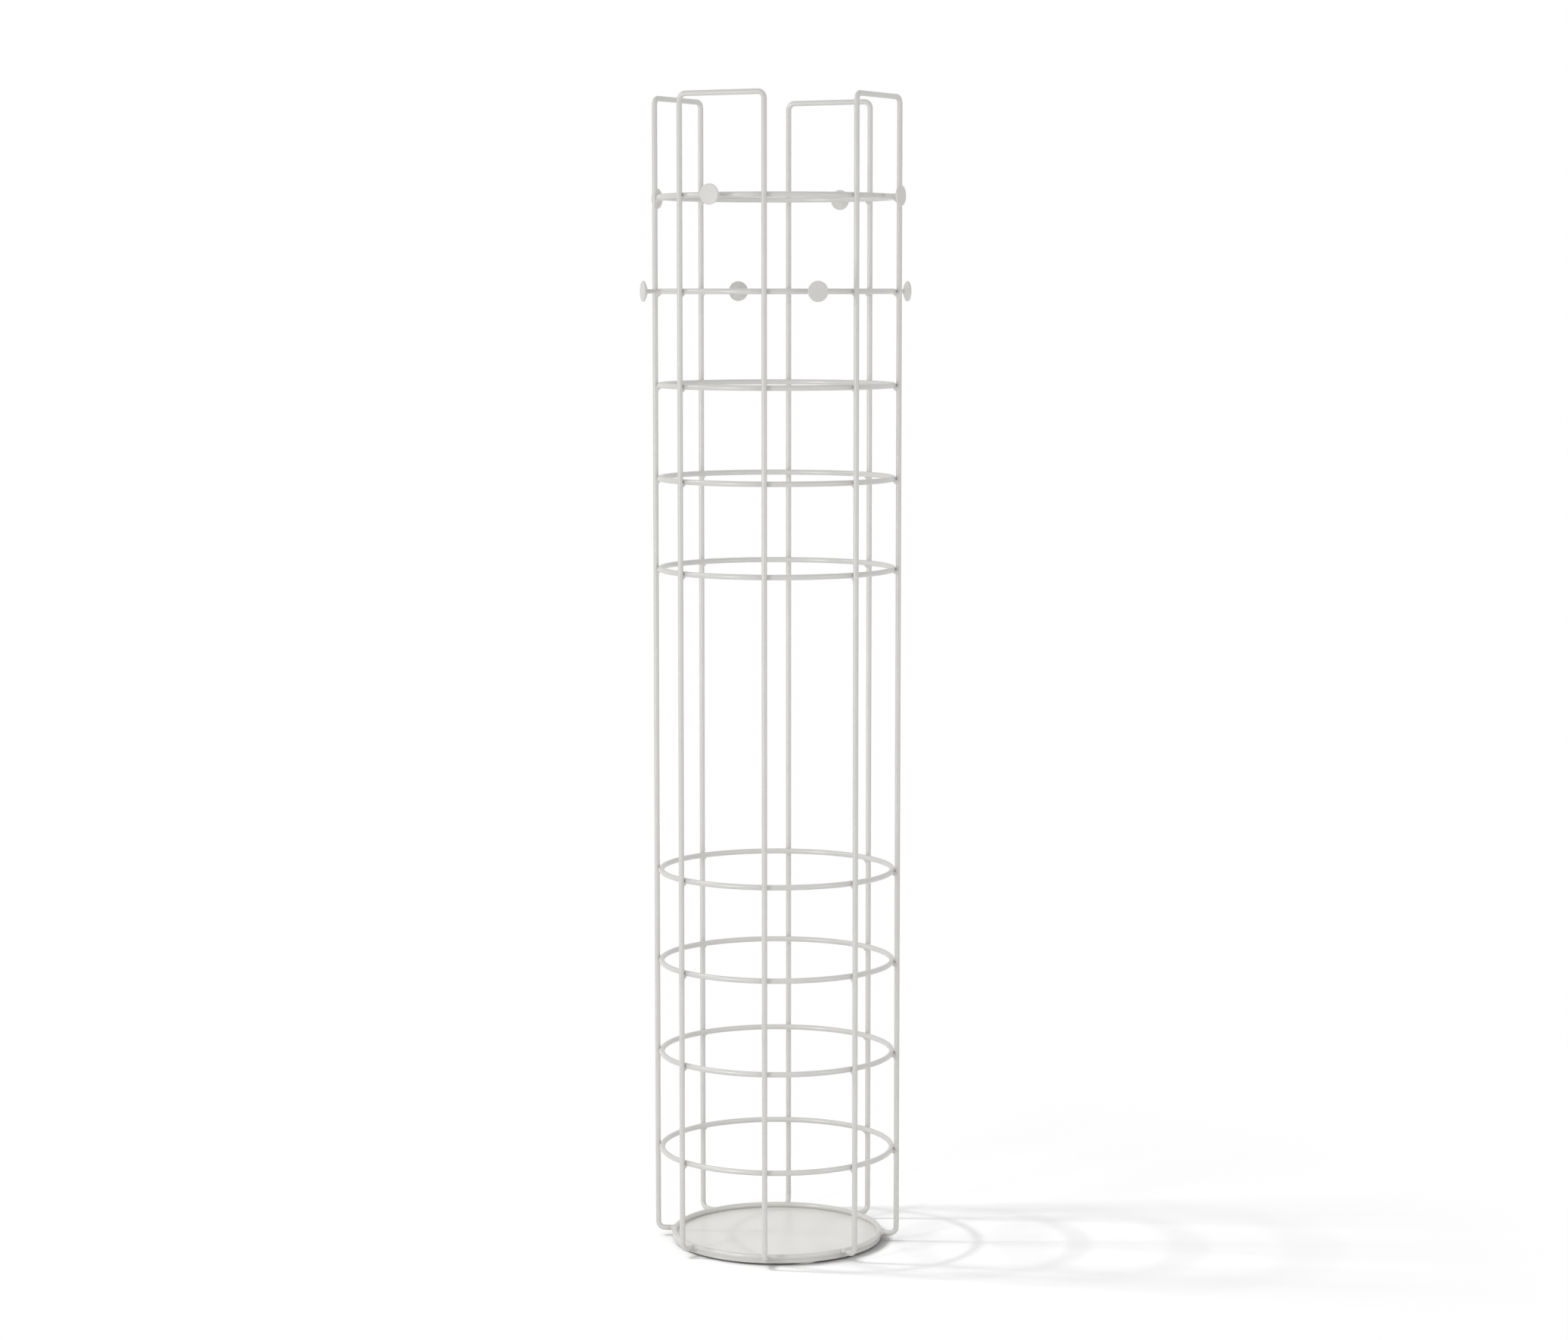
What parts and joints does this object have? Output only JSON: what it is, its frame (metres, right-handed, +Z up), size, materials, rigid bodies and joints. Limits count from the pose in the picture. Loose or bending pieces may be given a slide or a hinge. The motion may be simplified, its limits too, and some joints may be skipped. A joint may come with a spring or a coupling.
{
  "type": "coat stand",
  "caption": "Tall cylindrical coat stand welded from round wire: upright hairpin loops and inner hoops on a round plate base, with mushroom pegs near the top for coats.",
  "frame": {"origin": "on the floor under the middle of the base", "axes": "+Z up; front is -Y, through the middle of one upright loop; +X to the right"},
  "size_m": [0.408, 0.408, 1.705],
  "materials": {
    "wire_coat": "satin powder coat, pale warm grey",
    "plate_coat": "satin powder coat, pale warm grey",
    "peg_coat": "satin powder coat, pale warm grey",
    "glide_pad": "matt pale grey pad"
  },
  "bodies": {
    "root": {"upright_loop_front": "wire_coat", "upright_loop_right": "wire_coat", "upright_loop_back": "wire_coat", "upright_loop_left": "wire_coat", "lower_hoop_1": "wire_coat", "lower_hoop_2": "wire_coat", "lower_hoop_3": "wire_coat", "lower_hoop_4": "wire_coat", "upper_hoop_1": "wire_coat", "upper_hoop_2": "wire_coat", "upper_hoop_3": "wire_coat", "upper_hoop_4": "wire_coat", "upper_hoop_5": "wire_coat", "base_ring": "wire_coat", "lower_hoop_1_welds": "wire_coat", "lower_hoop_2_welds": "wire_coat", "lower_hoop_3_welds": "wire_coat", "lower_hoop_4_welds": "wire_coat", "upper_hoop_1_welds": "wire_coat", "upper_hoop_2_welds": "wire_coat", "upper_hoop_3_welds": "wire_coat", "upper_hoop_4_welds": "wire_coat", "upper_hoop_5_welds": "wire_coat", "foot_welds": "wire_coat", "high_peg_welds": "wire_coat", "low_peg_welds": "wire_coat", "base_plate": "plate_coat", "high_peg_head_front": "peg_coat", "high_peg_head_right": "peg_coat", "high_peg_head_back": "peg_coat", "high_peg_head_left": "peg_coat", "low_peg_head_front_right": "peg_coat", "low_peg_head_back_right": "peg_coat", "low_peg_head_back_left": "peg_coat", "low_peg_head_front_left": "peg_coat", "high_peg_stem_front": "peg_coat", "high_peg_stem_right": "peg_coat", "high_peg_stem_back": "peg_coat", "high_peg_stem_left": "peg_coat", "low_peg_stem_front_right": "peg_coat", "low_peg_stem_back_right": "peg_coat", "low_peg_stem_back_left": "peg_coat", "low_peg_stem_front_left": "peg_coat", "glide_front_right": "glide_pad", "glide_back_right": "glide_pad", "glide_back_left": "glide_pad", "glide_front_left": "glide_pad"}
  },
  "joints": []
}
